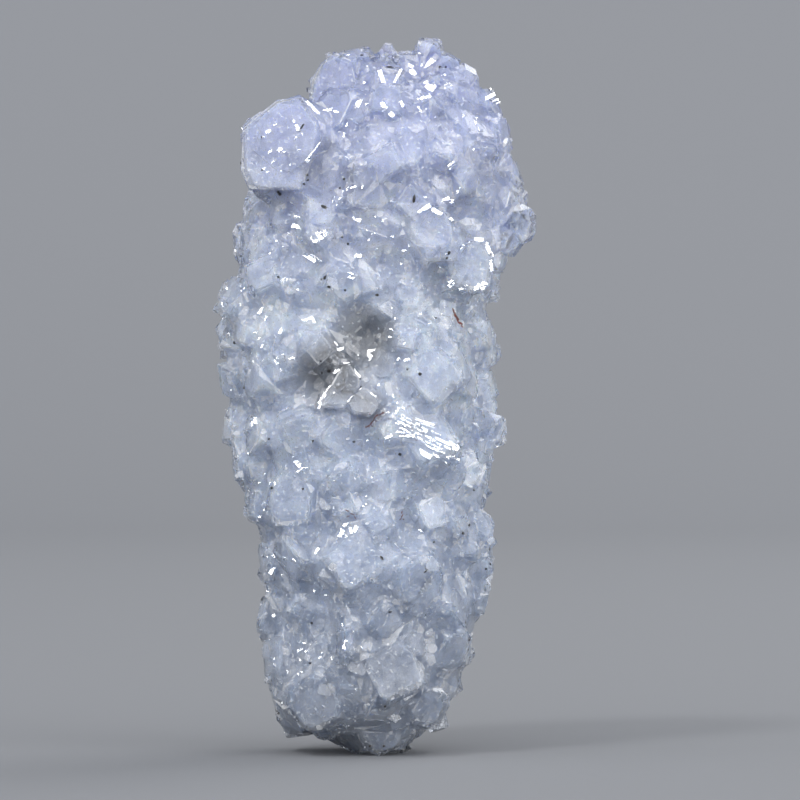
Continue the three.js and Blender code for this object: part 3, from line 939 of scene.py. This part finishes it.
# %% Sow the dark grains
GRAINS = [
    (324, 207, 6, 3, -30), (307, 175, 2.4, 2.4, 0), (308, 180, 2, 2, 0), (304, 184, 2.4, 2, 0),
    (278, 192, 2.4, 2, 0), (280, 194, 3, 2.6, -30), (329, 287, 3, 2.4, 0), (377, 295, 3, 2, 0),
    (362, 55, 4, 1.4, 0), (389, 67, 6, 1.4, 0), (440, 67, 2.4, 2, 0), (446, 67, 2, 2, 0),
    (414, 199, 7, 2.2, 85), (342, 237, 2.4, 2, 0), (348, 244, 2.6, 2.2, 0), (449, 253, 3.4, 2.4, 60),
    (447, 258, 2.4, 2, 0), (345, 290, 2, 2, 0), (278, 277, 2, 2, 0), (329, 371, 3, 3, 0),
    (420, 374, 3, 3, 0), (361, 387, 1.8, 1.8, 0), (244, 388, 2, 2, 0), (269, 439, 2.4, 2, 0),
    (313, 441, 2.4, 2, 0), (354, 442, 2.6, 2, 0), (400, 454, 2.8, 2.4, 0), (272, 488, 3, 2.4, 0),
    (303, 489, 2, 2, 0), (469, 525, 4, 2.4, 30), (463, 533, 3, 2.4, 0), (434, 542, 2, 2, 0),
    (486, 569, 2.4, 2, 0), (490, 564, 2, 2, 0), (312, 623, 2.4, 2, 0), (390, 612, 2.6, 2, 0),
    (469, 640, 2, 2, 0), (310, 663, 2.4, 2, 0), (370, 746, 2.6, 2, 0), (384, 746, 2.6, 2, 0),
    (344, 179, 2.4, 1.8, 40), (340, 188, 2, 2, 0), (474, 490, 2, 1.8, 0), (321, 361, 1.6, 1.6, 0),
    (322, 373, 1.6, 1.6, 0), (262, 137, 2, 1.8, 0), (262, 170, 1.8, 1.6, 0), (426, 571, 8, 1.2, 10),
    (302, 127, 8, 1.6, 55), (436, 318, 1.8, 1.6, 0),
]
GRAIN_GROWTH = 1.3 * PIXEL / 2
HIDDEN_GRAINS = {"count": 60, "half": (0.15, 0.3), "long": (1, 1.8), "facing": -0.2}
UNEVENNESS = 0.25
GRAIN_TONES = [(0.35, (0.005, 0.005, 0.006)), (0.7, (0.03, 0.025, 0.025))]


def add_grain(bm, place, turn, sizes):
    """Adds one rough grain."""
    made = bmesh.ops.create_icosphere(bm, subdivisions=1, radius=1)["verts"]
    for vert in made:
        vert.co *= 1 + rng.uniform(-UNEVENNESS, UNEVENNESS)
    bmesh.ops.transform(bm, matrix=Matrix.LocRotScale(place, turn, sizes), verts=made)


def speck_material(name, roughness, scale, tones):
    """A dull mineral whose colour changes a little from place to place."""
    material, nodes, links, shader = new_material(name)
    shader.inputs["Roughness"].default_value = roughness
    tone = ramp(nodes, links, object_noise(nodes, links, scale, 3), tones)
    links.new(tone, shader.inputs["Base Color"])
    return material


def finish_specks(name, bm, material):
    """Makes the grains in a bmesh a piece that rides on the part."""
    mesh = mesh_from(bm, name)
    mesh.materials.append(material)
    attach(link(bpy.data.objects.new(name, mesh)), "root")


surface = tree_of(joined)
bm = bmesh.new()
for px, py, length, width, slope in GRAINS:
    place, way_out = seen_at(px, py, surface)
    if place:
        sizes = (length * GRAIN_GROWTH, width * GRAIN_GROWTH, width * GRAIN_GROWTH)
        add_grain(bm, place, turn_along(way_out, math.radians(slope)), sizes)
made = 0
while made < HIDDEN_GRAINS["count"]:
    seat, normal = random_seat(rng)
    half = rng.uniform(*HIDDEN_GRAINS["half"]) * MM
    if normal.y < HIDDEN_GRAINS["facing"] or seat.z < FOOT_CLEAR:
        continue
    place, way_out, _, _ = surface.find_nearest(seat)
    turn = turn_along(way_out, rng.uniform(0, math.pi))
    add_grain(bm, place, turn, (half * rng.uniform(*HIDDEN_GRAINS["long"]), half, half))
    made += 1
finish_specks("dark_grains", bm, speck_material("dark_grain", 0.45, 4000, GRAIN_TONES))
print("dark grains", len(GRAINS) + made)

# %% [markdown]
# ## Rusty flakes
# A red-brown blade leans on the right flank. Under the gables a rusty film has spread in short crooked
# branches, and two brown threads lie lower down. All are thin, so each is a flattened grain or a row of
# them, a fraction of a millimetre thick.

# %% Lay the rusty flakes
BLADE = [
    (453.5, 311, 7, 1.8, -75), (455, 315, 7, 2.8, -62), (457.5, 319, 8, 3.8, -58), (460, 323, 7, 3.4, -58),
    (462, 326.5, 4, 1.8, -50),
]
FILM = [
    (383, 413, 4, 1.6, 20), (380, 414.5, 4, 1.4, 30), (377, 415.5, 4, 1.6, 40), (374.5, 418, 5, 1.4, 60),
    (373, 421, 4, 1.6, 50), (371, 423.5, 5, 2, 45), (368.5, 426, 4, 1.6, 20), (370, 414, 2, 1.2, 0),
    (372, 426, 3, 1.2, -30), (376, 421, 2, 1.4, 0), (379, 418, 2, 1.2, 0), (366, 427, 2, 1.4, 0),
]
THREADS = [
    (348, 511, 7, 1.1, -35), (352, 514, 6, 1.3, -25), (355, 517.5, 4, 0.9, -60), (348, 516.5, 5, 0.9, 35),
    (402, 512, 4, 1.3, 80), (402, 516, 5, 1.5, 70), (400.5, 519, 4, 1.1, 50), (403.5, 519.5, 3, 1, -50),
]
THICKNESS = 0.5
RUST_TONES = [(0.35, (0.07, 0.015, 0.015)), (0.65, (0.2, 0.05, 0.035))]

bm = bmesh.new()
for px, py, length, width, slope in BLADE + FILM + THREADS:
    place, way_out = seen_at(px, py, surface)
    if place:
        sizes = (length * PIXEL / 2, width * PIXEL / 2, width * PIXEL / 2 * THICKNESS)
        add_grain(bm, place, turn_along(way_out, math.radians(slope)), sizes)
finish_specks("rusty_flakes", bm, speck_material("rusty_flake", 0.5, 1500, RUST_TONES))
print("rusty flakes", len(BLADE + FILM + THREADS))

# %% [markdown]
# ## Floor and light
# A plain pale sweep and soft light let the crystals show themselves: the floor bends up behind the cluster,
# so from the front no horizon crosses it. A soft lamp on the upper left is the one that the glints mirror,
# another behind lights the edges, a third fills the right side, and the room is brightest behind the
# camera, which keeps the shadows open.

# %% Build the sweep
SWEEP_HALF = 3.4
BEND_START = 1.5
BEND_RADIUS = 1.4
SWEEP_STEPS = 96
SWEEP_GREY = (0.2, 0.206, 0.218, 1)
SWEEP_ROUGHNESS = 0.85

bm = bmesh.new()
bmesh.ops.create_grid(bm, x_segments=2, y_segments=SWEEP_STEPS, size=SWEEP_HALF)
for vert in bm.verts:
    past = max(0, vert.co.y - BEND_START)
    turn = min(past / BEND_RADIUS, math.pi / 2)
    if past:
        rise = past - turn * BEND_RADIUS
        vert.co.y = BEND_START + BEND_RADIUS * math.sin(turn)
        vert.co.z = BEND_RADIUS * (1 - math.cos(turn)) + rise
for face in bm.faces:
    face.smooth = True
sweep = link(bpy.data.objects.new("sweep", bpy.data.meshes.new("sweep")))
bm.to_mesh(sweep.data)
bm.free()
material, _, _, shader = new_material("pale_sweep")
shader.inputs["Base Color"].default_value = SWEEP_GREY
shader.inputs["Roughness"].default_value = SWEEP_ROUGHNESS
sweep.data.materials.append(material)
print("sweep", len(sweep.data.polygons), "faces")

# %% Hang the lamps and light the room
LAMPS = [
    {"name": "key", "place": KEY_PLACE, "size": 0.42, "power": 18},
    {"name": "rim", "place": Vector((1.1, 1.0, 1.5)), "size": 1.3, "power": 16},
    {"name": "side", "place": Vector((1.8, -1.2, 0.6)), "size": 1.2, "power": 11},
]
LAMP_AIM = Vector((0, 0, 0.065))
SKY_SPAN = (0.6, -1)
SKY_TONES = [(0.0, (0.25, 0.26, 0.28)), (1.0, (1.95, 1.98, 2.06))]

for lamp in LAMPS:
    light = bpy.data.lights.new(lamp["name"], "AREA")
    light.size = lamp["size"]
    light.energy = lamp["power"]
    thing = link(bpy.data.objects.new(lamp["name"], light))
    thing.location = lamp["place"]
    thing.rotation_euler = (LAMP_AIM - lamp["place"]).to_track_quat("-Z", "Y").to_euler()
    thing.visible_camera = False

world = bpy.data.worlds.new("studio")
world.use_nodes = True
nodes, links = world.node_tree.nodes, world.node_tree.links
coordinates = nodes.new("ShaderNodeTexCoord")
split = nodes.new("ShaderNodeSeparateXYZ")
links.new(coordinates.outputs["Generated"], split.inputs["Vector"])
towards_camera = in_range(nodes, links, split.outputs["Y"], SKY_SPAN, (0, 1))
sky = ramp(nodes, links, towards_camera, SKY_TONES)
links.new(sky, nodes["Background"].inputs["Color"])
bpy.context.scene.world = world
bpy.context.scene.view_settings.view_transform = "Standard"
print("lamps", [lamp["name"] for lamp in LAMPS])
